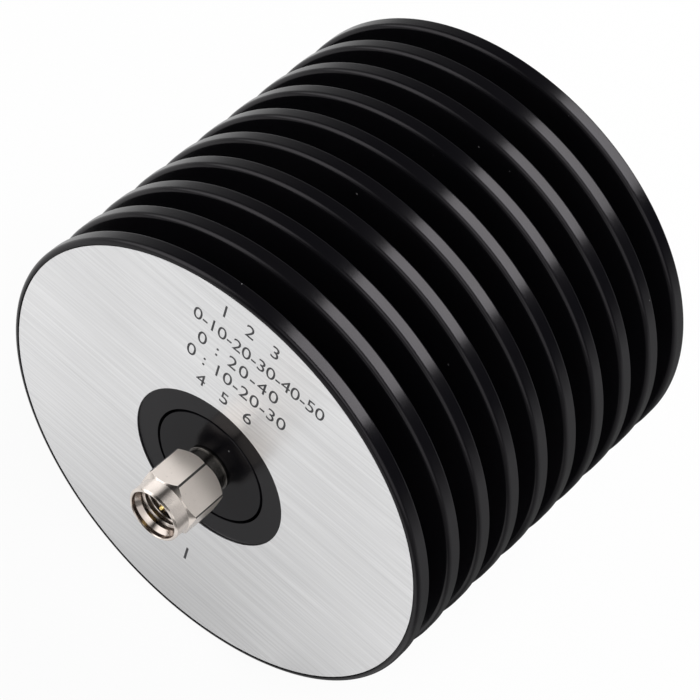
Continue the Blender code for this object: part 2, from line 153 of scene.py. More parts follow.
# Threads, with the half widths of the ridge and the places of its ends as shares of the pitch
THREAD_PITCH = 25.4 / 36 * MM
THREAD_TOP = 0.07
THREAD_FOOT = 0.42
THREAD_SINK = 0.05 * MM
NUT_THREAD_START = 0.45
JACK_THREAD_START = 0.4
JACK_THREAD_END = 0.5

# Marking on the plate
MARK_THICKNESS = 0.006 * MM
MARK_LIFT = 0.004 * MM

# Rounds along the edges of the turnings
EDGE_ROUND = 0.04 * MM
PLATE_EDGE_ROUND = 0.02 * MM
CORE_EDGE_ROUND = 0.03 * MM
SEAT_EDGE_ROUND = 0.01 * MM
NUT_EDGE_ROUND = 0.035 * MM
PIN_EDGE_ROUND = 0.03 * MM

# A round takes up this share of a side at most, and corners this close to straight have none
ROUND_SHARE = 0.45
NEARLY_STRAIGHT = math.radians(8.0)

# How fine the meshes are
SINK_SEGMENTS = 256
CORE_SEGMENTS = 128
CONNECTOR_SEGMENTS = 96
NUT_SEGMENTS = 240
THREAD_SEGMENTS = 72
PIN_SEGMENTS = 48
DRILL_SEGMENTS = 48
FILLET_STEPS = 6
ROUND_STEPS = 3
SHARP_ANGLE = math.radians(40.0)
FLAT_FACE_WEIGHT = 80
WELD_DISTANCE = 0.0001 * MM

# Gloss of the anodised surfaces, as an index of refraction
RIM_GLOSS = 1.3
SINK_FACE_GLOSS = 1.245
CORE_FACE_GLOSS = 1.198
EDGE_SHINE = 0.05

# Marks and grain, in waves for each metre
SINK_FINE_MARKS = 9000.0
SINK_COARSE_MARKS = 1600.0
SINK_PATCHES = 60.0
SINK_SPECKS = 1500.0
DUST_CELLS = 170.0
BRUSHED_HAIRS = (60.0, 9000.0, 9000.0)
BRUSHED_LINES = (45.0, 2600.0, 2600.0)
BRUSHED_CLOUDS = 60.0
STEEL_MARKS = 14000.0
STEEL_GRAIN = 5200.0
STEEL_PATCHES = 420.0
GOLD_MARKS = 16000.0
GOLD_CLOUDS = 900.0

# Roughness of the steel, and how much darker its patches are
STEEL_ROUGHNESS = 0.22
STEEL_SHADE = 0.92

# A grain of dust is full up to the first share of its cell and ends at the second
DUST_FULL = 0.012
DUST_END = 0.02

# Colours, as linear red, green and blue
WHITE = (1.0, 1.0, 1.0)
ANODISED_DARK = (0.003, 0.003, 0.0042)
ANODISED = (0.004, 0.004, 0.005)
ANODISED_LIGHT = (0.0055, 0.005, 0.006)
ANODISED_SHINE = (1.0, 0.95, 1.0)
DUST = (0.3, 0.3, 0.3)
BRUSHED_DARK = (0.77, 0.77, 0.775)
BRUSHED = (0.8, 0.8, 0.79)
BRUSHED_LIGHT = (0.95, 0.95, 0.955)
NICKEL_DARK = (0.72, 0.655, 0.6)
NICKEL = (0.76, 0.69, 0.64)
NICKEL_LIGHT = (0.79, 0.72, 0.665)
# Painted shade for the cone and the wall inside the nut's mouth, and a painted dark reflection along the
# nut's corners
NICKEL_CONE_PAINTED_SHADE = (0.52, 0.46, 0.42)
NICKEL_WALL_PAINTED_SHADE = (0.4, 0.34, 0.3)
NICKEL_CORNER_PAINTED_REFLECTION = (0.06, 0.057, 0.055)
# The plug's steel is painted darker than the jack's, with end faces near black, as painted shade behind the
# nut
PLUG_SIDES_PAINTED_SHADE = (0.16, 0.15, 0.14)
PLUG_ENDS_PAINTED_SHADE = (0.04, 0.038, 0.036)
JACK_SIDES = (0.5, 0.47, 0.44)
JACK_ENDS = (0.46, 0.43, 0.4)
GOLD_DARK = (0.86, 0.63, 0.22)
GOLD = (0.95, 0.66, 0.26)
GOLD_LIGHT = (0.97, 0.77, 0.33)
INK_DARK = (0.02, 0.02, 0.023)
INK_LIGHT = (0.045, 0.045, 0.05)
CERAMIC_DARK = (0.8, 0.78, 0.72)
CERAMIC_LIGHT = (0.87, 0.85, 0.8)
PLASTIC_DARK = (0.8, 0.78, 0.71)
PLASTIC_LIGHT = (0.88, 0.86, 0.8)
SPRING_DARK = (0.34, 0.32, 0.3)
SPRING_LIGHT = (0.42, 0.4, 0.37)
SCREW_DARK = (0.24, 0.24, 0.25)
SCREW_LIGHT = (0.32, 0.32, 0.33)
FLOOR_WHITE = (0.82, 0.82, 0.82)

# Camera: the place, heading and lens that fit the rims and the nut in the photograph
IMAGE_SIZE = 700
FOCAL_PIXELS = 2711.3
SENSOR_WIDTH = 36.0
CAMERA_PLACE = Vector((85.71, -164.99, 273.16)) * MM
CAMERA_RIGHT = Vector((0.7483, 0.6296, 0.2087))
CAMERA_FORWARD = Vector((-0.2476, 0.5571, -0.7927))
CLIP_NEAR = 0.01
CLIP_FAR = 20.0

# Studio
FLOOR_HALF = 3.0
FLOOR_LIFT = 0.95
# The centre of the painted shadow in front of the object, on the floor as shiny surfaces see it
PAINTED_SHADOW_CENTRE = (0.002, -0.03, sink_low.z)
KEY_DIRECTION = (0.305, 0.56, 0.77)
KEY_DISTANCE = 0.8
KEY_WIDTH = 0.6
KEY_LENGTH = 0.36
KEY_RADIANCE = 8.6
DARK_LEVEL = 0.04


def new_material(name, colour, roughness, metallic, ior=1.5, anisotropic=0.0):
    """A Principled material, its node tree and its shader."""
    made = bpy.data.materials.new(name)
    made.use_nodes = True
    tree = made.node_tree
    shader = tree.nodes["Principled BSDF"]
    shader.inputs["Base Color"].default_value = (*colour, 1.0)
    shader.inputs["Roughness"].default_value = roughness
    shader.inputs["Metallic"].default_value = metallic
    shader.inputs["IOR"].default_value = ior
    shader.inputs["Anisotropic"].default_value = anisotropic
    return made, tree, shader


def node(tree, kind, **settings):
    """A new node with its properties, and its inputs by name, set."""
    made = tree.nodes.new(kind)
    for key, value in settings.items():
        if hasattr(made, key):
            setattr(made, key, value)
        else:
            made.inputs[key.replace("_", " ")].default_value = value
    return made


def feed(tree, value, socket):
    """Give an input a number or a colour, or link it to the output of another node."""
    if isinstance(value, float):
        socket.default_value = value
    elif isinstance(value, tuple):
        socket.default_value = (*value, 1.0)
    else:
        tree.links.new(value, socket)


def place_coordinates(tree, scale):
    """The point on the object, in metres times a scale along each axis."""
    where = node(tree, "ShaderNodeTexCoord")
    mapping = node(tree, "ShaderNodeMapping", Scale=scale)
    tree.links.new(where.outputs["Object"], mapping.inputs["Vector"])
    return mapping.outputs["Vector"]


def axis_distance(tree):
    """The distance from the Y axis, in metres."""
    where = node(tree, "ShaderNodeTexCoord")
    flat = node(tree, "ShaderNodeVectorMath", operation="MULTIPLY")
    flat.inputs[1].default_value = (1.0, 0.0, 1.0)
    length = node(tree, "ShaderNodeVectorMath", operation="LENGTH")
    tree.links.new(where.outputs["Object"], flat.inputs[0])
    tree.links.new(flat.outputs["Vector"], length.inputs[0])
    return length.outputs["Value"]


def lathe_coordinates(tree, scale):
    """Coordinates that stay the same along the path of a turning tool round the Y axis."""
    where = node(tree, "ShaderNodeTexCoord")
    parts = node(tree, "ShaderNodeSeparateXYZ")
    both = node(tree, "ShaderNodeCombineXYZ")
    mapping = node(tree, "ShaderNodeMapping", Scale=(scale, scale, scale))
    tree.links.new(where.outputs["Object"], parts.inputs["Vector"])
    tree.links.new(axis_distance(tree), both.inputs["X"])
    tree.links.new(parts.outputs["Y"], both.inputs["Y"])
    tree.links.new(both.outputs["Vector"], mapping.inputs["Vector"])
    return mapping.outputs["Vector"]


def noise(tree, coordinates, detail=4.0, rough=0.55):
    """Noise over some coordinates, from 0 to 1."""
    made = node(tree, "ShaderNodeTexNoise", Scale=1.0, Detail=detail, Roughness=rough)
    tree.links.new(coordinates, made.inputs["Vector"])
    return made.outputs["Fac"]


def even_noise(tree, waves, detail=4.0, rough=0.55):
    """Noise with the same number of waves for each metre in every direction."""
    return noise(tree, place_coordinates(tree, (waves, waves, waves)), detail, rough)


def turning_marks(tree, waves, detail=3.0):
    """Fine circles round the Y axis, as a turning tool leaves them."""
    return noise(tree, lathe_coordinates(tree, waves), detail)


def spread(tree, value, low, high, start=0.3, end=0.7):
    """A value from start to end, spread from low to high. The default start and end suit noise."""
    made = node(tree, "ShaderNodeMapRange")
    for key, setting in (("From Min", start), ("From Max", end), ("To Min", low), ("To Max", high)):
        made.inputs[key].default_value = setting
    tree.links.new(value, made.inputs["Value"])
    return made.outputs["Result"]


def combine(tree, operation, first, *others):
    """One value made of several by Math nodes, one after another."""
    result = first
    for other in others:
        made = node(tree, "ShaderNodeMath", operation=operation)
        feed(tree, result, made.inputs[0])
        feed(tree, other, made.inputs[1])
        result = made.outputs["Value"]
    return result


def band(tree, value, start, full, fade, end):
    """1 where a value lies between full and fade, with a slope to 0 at start and at end."""
    rising = spread(tree, value, 0.0, 1.0, start, full)
    falling = spread(tree, value, 1.0, 0.0, fade, end)
    return combine(tree, "MULTIPLY", rising, falling)


def blend(tree, share, first, second):
    """A value between two others, by a share from 0 to 1."""
    made = node(tree, "ShaderNodeMix", data_type="FLOAT")
    for key, value in (("Factor", share), ("A", first), ("B", second)):
        feed(tree, value, made.inputs[key])
    return made.outputs["Result"]


def tint(tree, share, first, second):
    """A colour between two others, by a share from 0 to 1."""
    made = node(tree, "ShaderNodeMix", data_type="RGBA")
    colours = [socket for socket in made.inputs if socket.type == "RGBA"]
    for socket, colour in zip(colours, (first, second)):
        feed(tree, colour, socket)
    tree.links.new(share, made.inputs["Factor"])
    return next(socket for socket in made.outputs if socket.type == "RGBA")


def facing_ends(tree):
    """How far a surface faces along the Y axis: 1 on a flat face and 0 on a cylinder."""
    shape = node(tree, "ShaderNodeNewGeometry")
    parts = node(tree, "ShaderNodeSeparateXYZ")
    steep = node(tree, "ShaderNodeMath", operation="ABSOLUTE")
    tree.links.new(shape.outputs["Normal"], parts.inputs["Vector"])
    tree.links.new(parts.outputs["Y"], steep.inputs[0])
    return steep.outputs["Value"]


def dust(tree):
    """A few grains of dust: 1 on a grain and 0 elsewhere."""
    cells = node(tree, "ShaderNodeTexVoronoi", Scale=1.0)
    tree.links.new(place_coordinates(tree, (DUST_CELLS, DUST_CELLS, DUST_CELLS)), cells.inputs["Vector"])
    return spread(tree, cells.outputs["Distance"], 1.0, 0.0, DUST_FULL, DUST_END)


def bump(tree, shader, heights):
    """Chain of bumps, each (height, strength, distance)."""
    last = None
    for height, strength, distance in heights:
        made = node(tree, "ShaderNodeBump", Strength=strength, Distance=distance)
        tree.links.new(height, made.inputs["Height"])
        if last is not None:
            tree.links.new(last, made.inputs["Normal"])
        last = made.outputs["Normal"]
    tree.links.new(last, shader.inputs["Normal"])


def turned_tangent(tree, shader):
    """Gloss that spreads across the circles left by a turning tool round the Y axis."""
    tangent = node(tree, "ShaderNodeTangent", direction_type="RADIAL", axis="Y")
    tree.links.new(tangent.outputs["Tangent"], shader.inputs["Tangent"])
    shader.inputs["Anisotropic Rotation"].default_value = 0.25


def black_anodised(name, face_gloss):
    """Black anodised aluminium with fine turning marks and a little dust.

    Its flat faces have a gloss of their own, and the edges of the fins are rubbed to a shine.
    """
    made, tree, shader = new_material(name, ANODISED, 0.22, metallic=0.0, ior=RIM_GLOSS, anisotropic=0.5)
    turned_tangent(tree, shader)
    feed(tree, ANODISED_SHINE, shader.inputs["Specular Tint"])
    fine = turning_marks(tree, SINK_FINE_MARKS)
    coarse = turning_marks(tree, SINK_COARSE_MARKS, detail=2.0)
    patches = even_noise(tree, SINK_PATCHES, detail=5.0)
    specks = even_noise(tree, SINK_SPECKS, detail=2.0)
    black = tint(tree, patches, ANODISED_DARK, ANODISED_LIGHT)
    tree.links.new(tint(tree, dust(tree), black, DUST), shader.inputs["Base Color"])
    # Flat faces lie across the axis, rims along it, and the rounds of the fins between the two
    facing = facing_ends(tree)
    flat = spread(tree, facing, RIM_GLOSS, face_gloss, 0.97, 0.995)
    slanted = band(tree, facing, 0.15, 0.45, 0.86, 0.97)
    fins = spread(tree, axis_distance(tree), 0.0, EDGE_SHINE, FIN_RADIUS - 2.0 * MM, FIN_RADIUS - 1.0 * MM)
    shine = combine(tree, "MULTIPLY", slanted, fins)
    tree.links.new(combine(tree, "ADD", flat, shine), shader.inputs["IOR"])
    tree.links.new(spread(tree, patches, 0.2, 0.26), shader.inputs["Roughness"])
    bump(tree, shader, [(fine, 0.1, 0.01 * MM), (coarse, 0.12, 0.02 * MM), (specks, 0.05, 0.02 * MM)])
    return made


def brushed_aluminium():
    """The plate's aluminium, brushed in straight lines along X."""
    made, tree, shader = new_material("brushed_aluminium", BRUSHED, 0.34, metallic=1.0, anisotropic=0.8)
    across = node(tree, "ShaderNodeCombineXYZ", Z=1.0)
    tree.links.new(across.outputs["Vector"], shader.inputs["Tangent"])
    hairs = noise(tree, place_coordinates(tree, BRUSHED_HAIRS), rough=0.7)
    lines = noise(tree, place_coordinates(tree, BRUSHED_LINES), detail=3.0)
    clouds = even_noise(tree, BRUSHED_CLOUDS, detail=3.0)
    both = combine(tree, "ADD", combine(tree, "MULTIPLY", hairs, 0.5), lines)
    shade = spread(tree, both, 0.0, 1.0, 0.5, 1.0)
    tree.links.new(tint(tree, shade, BRUSHED_DARK, BRUSHED_LIGHT), shader.inputs["Base Color"])
    tree.links.new(spread(tree, clouds, 0.31, 0.37), shader.inputs["Roughness"])
    bump(tree, shader, [(hairs, 0.25, 0.012 * MM), (lines, 0.18, 0.02 * MM)])
    return made


def satin_steel(name, colour, face_colour):
    """Plated steel with turning marks and a fine grain, its end faces in a colour of their own."""
    made, tree, shader = new_material(name, colour, STEEL_ROUGHNESS, metallic=1.0, anisotropic=0.35)
    turned_tangent(tree, shader)
    marks = turning_marks(tree, STEEL_MARKS)
    grain = even_noise(tree, STEEL_GRAIN, rough=0.7)
    patches = even_noise(tree, STEEL_PATCHES, detail=3.0)
    darker = tuple(STEEL_SHADE * part for part in colour)
    sides = tint(tree, patches, darker, colour)
    ends = spread(tree, facing_ends(tree), 0.0, 1.0, 0.96, 0.99)
    tree.links.new(tint(tree, ends, sides, face_colour), shader.inputs["Base Color"])
    rough = spread(tree, grain, STEEL_ROUGHNESS - 0.05, STEEL_ROUGHNESS + 0.07)
    tree.links.new(rough, shader.inputs["Roughness"])
    bump(tree, shader, [(marks, 0.1, 0.008 * MM), (grain, 0.04, 0.008 * MM)])
    return made


def satin_nickel():
    """The nut's plating.

    It is satin on the six flats and brighter on the turned nose. The cone and the wall of the mouth are
    painted darker and browner as painted shade inside the mouth, and the corners between the flats carry a
    painted dark reflection.
    """
    made, tree, shader = new_material("satin_nickel", NICKEL, 0.3, metallic=1.0, anisotropic=0.3)
    turned_tangent(tree, shader)
    marks = turning_marks(tree, STEEL_MARKS)
    grain = even_noise(tree, STEEL_GRAIN, rough=0.7)
    patches = even_noise(tree, STEEL_PATCHES, detail=3.0)
    radius = axis_distance(tree)
    facing = facing_ends(tree)
    mouth = NUT_MOUTH_RADIUS
    lead = NUT_LEAD_RADIUS
    corner = NUT_WIDTH / 2 / math.cos(NUT_SECTOR / 2 - NUT_CORNER_ROUND)

    # The cone and the wall of the mouth, painted darker as shade inside the mouth, and the corners, with a
    # painted dark reflection, are told apart by their distance from the axis
    between = band(tree, radius, lead - 0.02 * MM, lead + 0.02 * MM, mouth - 0.04 * MM, mouth)
    cone = combine(tree, "MULTIPLY", between, spread(tree, facing, 0.0, 1.0, 0.3, 0.5))
    wall = band(tree, radius, mouth - 0.04 * MM, mouth - 0.01 * MM, mouth + 0.03 * MM, mouth + 0.06 * MM)
    painted_corner_reflection = spread(tree, radius, 0.0, 1.0, corner - 0.022 * MM, corner - 0.008 * MM)
    colour = tint(tree, patches, NICKEL_DARK, NICKEL_LIGHT)
    # The colour takes painted shade in the mouth and a painted dark reflection along the corners
    colour = tint(tree, cone, colour, NICKEL_CONE_PAINTED_SHADE)
    colour = tint(tree, wall, colour, NICKEL_WALL_PAINTED_SHADE)
    colour = tint(tree, painted_corner_reflection, colour, NICKEL_CORNER_PAINTED_REFLECTION)
    tree.links.new(colour, shader.inputs["Base Color"])

    # The flats are the part of the hexagon that doesn't slant towards its ends
    hexagon = spread(tree, radius, 0.0, 1.0, NUT_NOSE_RADIUS + 0.04 * MM, NUT_NOSE_RADIUS + 0.08 * MM)
    flats = combine(tree, "MULTIPLY", hexagon, spread(tree, facing, 1.0, 0.0, 0.1, 0.4))
    satin = spread(tree, flats, 0.2, 0.3, 0.0, 1.0)
    rough = combine(tree, "ADD", satin, spread(tree, grain, -0.03, 0.03))
    tree.links.new(rough, shader.inputs["Roughness"])
    tree.links.new(spread(tree, flats, 0.3, 0.0, 0.0, 1.0), shader.inputs["Anisotropic"])
    tree.links.new(spread(tree, flats, 1.0, 0.58, 0.0, 1.0), shader.inputs["Metallic"])
    bump(tree, shader, [(marks, 0.08, 0.008 * MM), (grain, 0.035, 0.008 * MM)])
    return made


def gold_plate():
    """Bright gold plating over a turned surface."""
    made, tree, shader = new_material("gold_plate", GOLD, 0.17, metallic=1.0)
    marks = turning_marks(tree, GOLD_MARKS, detail=2.0)
    clouds = even_noise(tree, GOLD_CLOUDS)
    tree.links.new(tint(tree, clouds, GOLD_DARK, GOLD_LIGHT), shader.inputs["Base Color"])
    tree.links.new(spread(tree, clouds, 0.13, 0.22), shader.inputs["Roughness"])
    bump(tree, shader, [(marks, 0.15, 0.006 * MM)])
    return made


def plain(name, dark, light, roughness, metallic=0.0, waves=2500.0):
    """A quiet surface with a grain and a little change of colour, for marking and for what lies inside."""
    made, tree, shader = new_material(name, light, roughness, metallic)
    grain = even_noise(tree, waves)
    tree.links.new(tint(tree, grain, dark, light), shader.inputs["Base Color"])
    tree.links.new(spread(tree, grain, roughness - 0.05, roughness + 0.05), shader.inputs["Roughness"])
    bump(tree, shader, [(grain, 0.2, 0.01 * MM)])
    return made


def in_scene(name, data):
    """A new object in the scene, made of some data."""
    thing = bpy.data.objects.new(name, data)
    bpy.context.scene.collection.objects.link(thing)
    return thing


def from_faces(name, vertices, faces):
    """An object made of vertices and faces."""
    mesh = bpy.data.meshes.new(name)
    mesh.from_pydata(vertices, [], faces)
    return in_scene(name, mesh)


def from_shape(name, shape):
    """An object made of a bmesh, which is used up."""
    mesh = bpy.data.meshes.new(name)
    shape.to_mesh(mesh)
    shape.free()
    return in_scene(name, mesh)


def rounded(outline, radius, closed):
    """The outline with each corner replaced by a curve of about the radius, as large as its sides allow."""
    if radius == 0.0:
        return outline
    made = []
    count = len(outline)
    for i, corner in enumerate(outline):
        if not closed and i in (0, count - 1):
            made.append(corner)
            continue
        here = Vector(corner)
        before = Vector(outline[i - 1]) - here
        after = Vector(outline[(i + 1) % count]) - here
        opening = before.angle(after)
        if math.pi - opening < NEARLY_STRAIGHT:
            made.append(corner)
            continue
        room = ROUND_SHARE * min(before.length, after.length)
        reach = min(radius / math.tan(opening / 2), room)
        first = here + before.normalized() * reach
        last = here + after.normalized() * reach
        for step in range(ROUND_STEPS + 1):
            share = step / ROUND_STEPS
            made.append(tuple(first.lerp(here, share).lerp(here.lerp(last, share), share)))
    return made


def revolved(name, outline_at, segments, edge, first_angle=0.0):
    """A mesh round the Y axis from outlines of (radius, station) points.

    outline_at gives the outline at an angle, along the outside in the direction of Y and back along the
    bore. Outlines that start and end on the axis close there in a point.
    """
    closed = outline_at(0.0)[0][0] > 0.0
    vertices = []
    rows = 0
    for step in range(segments):
        angle = first_angle + 2 * math.pi * step / segments
        outline = rounded(outline_at(angle), edge, closed)
        rows = len(outline)
        for radius, station in outline:
            vertices.append((radius * math.cos(angle), FRONT + station, radius * math.sin(angle)))
    faces = []
    spans = rows if closed else rows - 1
    for step in range(segments):
        here = step * rows
        there = (step + 1) % segments * rows
        for i in range(spans):
            j = (i + 1) % rows
            faces.append((here + i, here + j, there + j, there + i))
    thing = from_faces(name, vertices, faces)
    if not closed:
        weld = thing.modifiers.new("Poles", "WELD")
        weld.merge_threshold = WELD_DISTANCE
    return thing


def turned(name, outline, segments, edge=EDGE_ROUND):
    """A plain turning."""
    return revolved(name, lambda angle: outline, segments, edge)


def block(name, size, place):
    """A box to cut with."""
    shape = bmesh.new()
    bmesh.ops.create_cube(shape, size=1.0)
    bmesh.ops.scale(shape, vec=size, verts=shape.verts)
    bmesh.ops.translate(shape, vec=place, verts=shape.verts)
    return from_shape(name, shape)


def drill(name, radius, side, station, bottom, top):
    """An upright cylinder to cut with."""
    shape = bmesh.new()
    bmesh.ops.create_cone(
        shape, cap_ends=True, segments=DRILL_SEGMENTS, radius1=radius, radius2=radius, depth=top - bottom
    )
    bmesh.ops.translate(shape, vec=(side, station, (bottom + top) / 2), verts=shape.verts)
    return from_shape(name, shape)


def carve(thing, cutters):
    """Cut a piece and keep the result as its own mesh."""
    for cutter in cutters:
        step = thing.modifiers.new(cutter.name, "BOOLEAN")
        step.object = cutter
        step.solver = "EXACT"
    shaped = thing.evaluated_get(bpy.context.evaluated_depsgraph_get())
    mesh = bpy.data.meshes.new_from_object(shaped)
    thing.modifiers.clear()
    thing.data = mesh
    for cutter in cutters:
        bpy.data.objects.remove(cutter)
    return thing


def settle(thing, body, material, slot, *stands_for):
    """Finish a piece: its shading, its material, its body and the solids that it stands for."""
    if thing.type == "MESH":
        thing.data.shade_smooth()
        thing.data.set_sharp_from_angle(angle=SHARP_ANGLE)
        normals = thing.modifiers.new("Flat faces stay flat", "WEIGHTED_NORMAL")
        normals.weight = FLAT_FACE_WEIGHT
        normals.keep_sharp = True
    thing.data.materials.append(material)
    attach(thing, body)
    if stands_for:
        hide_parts(*stands_for)
    return thing


def fillet(radius, station, size, first_angle):
    """A quarter circle in the outer corner of an outline, from an angle in degrees onwards."""
    middle = station + size if first_angle < 0.0 else station - size
    points = []
    for step in range(FILLET_STEPS + 1):
        angle = math.radians(first_angle + 90.0 * step / FILLET_STEPS)
        points.append((radius - size + size * math.cos(angle), middle + size * math.sin(angle)))
    return points


def heat_sink():
    """The finned turning, with a round on both edges of every fin, the larger one in front."""
    bore = CORE_RADIUS + CORE_FIT
    recess = FIN_RADIUS - LIP_WIDTH
    outline = [
        (bore, LABEL_RECESS + CORE_LEAD),
        (bore + CORE_EDGE, LABEL_RECESS),
        (recess, LABEL_RECESS),
        (recess, 0.0),
    ]
    for fin in range(FIN_COUNT):
        front = fin * (FIN_THICKNESS + FIN_GAP)
        back = front + FIN_THICKNESS
        if fin > 0:
            outline += [(HUB_RADIUS, front - FIN_GAP), (HUB_RADIUS, front)]
        outline += fillet(FIN_RADIUS, front, FIN_FRONT_ROUND, -90.0)
        outline += fillet(FIN_RADIUS, back, FIN_REAR_ROUND, 0.0)
    outline += [(bore + CORE_EDGE, SINK_LENGTH), (bore, SINK_LENGTH - CORE_LEAD)]
    sink = turned("finned_heat_sink", outline, SINK_SEGMENTS, 0.0)
    holes = []
    for part in ("set_screw_front", "set_screw_rear"):
        low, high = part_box(part)
        radius = (high.x - low.x) / 2 + SCREW_FIT
        station = (low.y + high.y) / 2
        holes.append(drill(f"{part}_hole", radius, 0.0, station, -HUB_RADIUS - OVERCUT, high.z + OVERCUT))
    return carve(sink, holes)


def plate():
    """The brushed ring."""
    front = plate_low.y - FRONT
    back = plate_high.y - FRONT
    outer = plate_high.x
    outline = [(outer, front), (outer, back), (PLATE_HOLE_RADIUS, back), (PLATE_HOLE_RADIUS, front)]
    return turned("brushed_label_plate", outline, SINK_SEGMENTS, PLATE_EDGE_ROUND)


def core_base():
    """The round block with both connector seats, the pocket, the chip's channel and the screw holes."""
    front = core_low.y - FRONT
    rear = core_high.y - FRONT
    outline = [
        (0.0, front),
        (CORE_RADIUS - CORE_EDGE, front),
        (CORE_RADIUS, front + CORE_LEAD),
        (CORE_RADIUS, rear - CORE_LEAD),
        (CORE_RADIUS - CORE_EDGE, rear),
        (0.0, rear),
    ]
    core = turned("turned_core_base", outline, CORE_SEGMENTS, CORE_EDGE_ROUND)
    cover_low, cover_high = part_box("core_cover")
    chip_low, chip_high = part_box("attenuator_chip")
    pocket_front = cover_low.y - COVER_GAP
    pocket_rear = cover_high.y + COVER_GAP
    pocket_floor = cover_low.z - COVER_GAP
    cutters = []
    for name, face, body_end, way, channel in (
        ("input_seat", front, plug_high.y - FRONT, 1.0, pocket_front - FRONT),
        ("output_seat", rear, jack_low.y - FRONT, -1.0, pocket_rear - FRONT),
    ):
        hole = SPIGOT_RADIUS + SPIGOT_FIT
        start = face - way * OVERCUT
        seat = body_end + way * BODY_SEAT
        end = channel + way * OVERCUT
        steps = [
            (0.0, start),
            (hole, start),
            (hole, seat),
            (LINE_RADIUS, seat),
            (LINE_RADIUS, end),
            (0.0, end),
        ]
        if way < 0.0:
            steps.reverse()
        cutters.append(turned(name, steps, CONNECTOR_SEGMENTS, SEAT_EDGE_ROUND))
    middle = (pocket_front + pocket_rear) / 2
    length = pocket_rear - pocket_front
    top = CORE_RADIUS + OVERCUT
    for name, width, bottom in (
        ("pocket", 2 * top, pocket_floor),
        ("channel", chip_high.x - chip_low.x + 2 * CHIP_SIDE_GAP, chip_low.z - CHIP_SEAT),
    ):
        cutters.append(block(name, (width, length, top - bottom), (0.0, middle, (top + bottom) / 2)))
    for number in range(1, COVER_SCREW_COUNT + 1):
        low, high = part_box(f"cover_screw_{number}")
        side = (low.x + high.x) / 2
        station = (low.y + high.y) / 2
        radius = COVER_SCREW_RADIUS + SCREW_FIT
        bottom = low.z - SCREW_TIP_SPACE
        cutters.append(drill(f"thread_{number}", radius, side, station, bottom, pocket_floor + OVERCUT))
    return carve(core, cutters)


def plug_body():
    """Collar, neck, journal with the ring's groove, and sleeve of the plug."""
    plane = plug_low.y - FRONT
    seat = core_low.y - FRONT - BODY_SEAT
    neck_back = seat - COLLAR_THICKNESS
    neck_front = neck_back - NECK_LENGTH
    journal_front = neck_front - JOURNAL_LENGTH
    groove_front = ring_low.y - FRONT - RING_FIT
    groove_back = ring_high.y - FRONT + RING_FIT
    spigot_end = plug_high.y - FRONT
    bead_low, bead_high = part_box("input_bead")
    bead_seat = bead_low.y - FRONT - BEAD_FIT
    outline = [
        (SLEEVE_RADIUS - BODY_EDGE, plane),
        (SLEEVE_RADIUS, plane + BODY_EDGE),
        (SLEEVE_RADIUS, journal_front),
        (JOURNAL_RADIUS, journal_front),
        (JOURNAL_RADIUS, groove_front),
        (RING_GROOVE_RADIUS, groove_front),
        (RING_GROOVE_RADIUS, groove_back),
        (JOURNAL_RADIUS, groove_back),
        (JOURNAL_RADIUS, neck_front),
        (NECK_RADIUS, neck_front),
        (NECK_RADIUS, neck_back),
        (COLLAR_RADIUS - BODY_EDGE, neck_back),
        (COLLAR_RADIUS, neck_back + BODY_EDGE),
        (COLLAR_RADIUS, seat),
        (SPIGOT_RADIUS, seat),
        (SPIGOT_RADIUS, spigot_end),
        (bead_high.x + BEAD_FIT, spigot_end),
        (bead_high.x + BEAD_FIT, bead_seat),
        (LINE_RADIUS, bead_seat),
        (LINE_RADIUS, plane),
    ]
    return turned("turned_plug_body", outline, CONNECTOR_SEGMENTS)


def input_pin():
    """The pin in the mouth of the nut, the conductor behind it with its neck in the bead, and its tail."""
    tip = pin_low.y - FRONT
    tail_tip = pin_high.y - FRONT
    shoulder = plug_low.y - FRONT + PIN_SETBACK
    bead_low, bead_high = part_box("input_bead")
    neck_start = bead_low.y - FRONT - 2 * BEAD_FIT
    neck_end = plug_high.y - FRONT + BEAD_FIT
    tail_start = tail_tip - TAIL_LENGTH + CONTACT_GAP
    outline = [
        (0.0, tip),
        (PIN_TIP_RADIUS, tip),
        (PIN_RADIUS, tip + PIN_TIP_LENGTH),
        (PIN_RADIUS, shoulder),
        (CONDUCTOR_RADIUS, shoulder),
        (CONDUCTOR_RADIUS, neck_start),
        (BEAD_NECK_RADIUS, neck_start),
        (BEAD_NECK_RADIUS, neck_end),
        (CONDUCTOR_RADIUS, neck_end),
        (CONDUCTOR_RADIUS, tail_start),
        (TAIL_RADIUS, tail_start),
        (TAIL_RADIUS, tail_tip),
        (0.0, tail_tip),
    ]
    return turned("gold_input_pin", outline, PIN_SEGMENTS, PIN_EDGE_ROUND)


def hexagon_radius(angle):
    """The radius of the nut's hexagon at an angle, with its corners a little rounded."""
    from_corner = (angle - NUT_TURN + NUT_SECTOR / 2) % NUT_SECTOR - NUT_SECTOR / 2
    off_flat = NUT_SECTOR / 2 - max(abs(from_corner), NUT_CORNER_ROUND)
    return NUT_WIDTH / 2 / math.cos(off_flat)


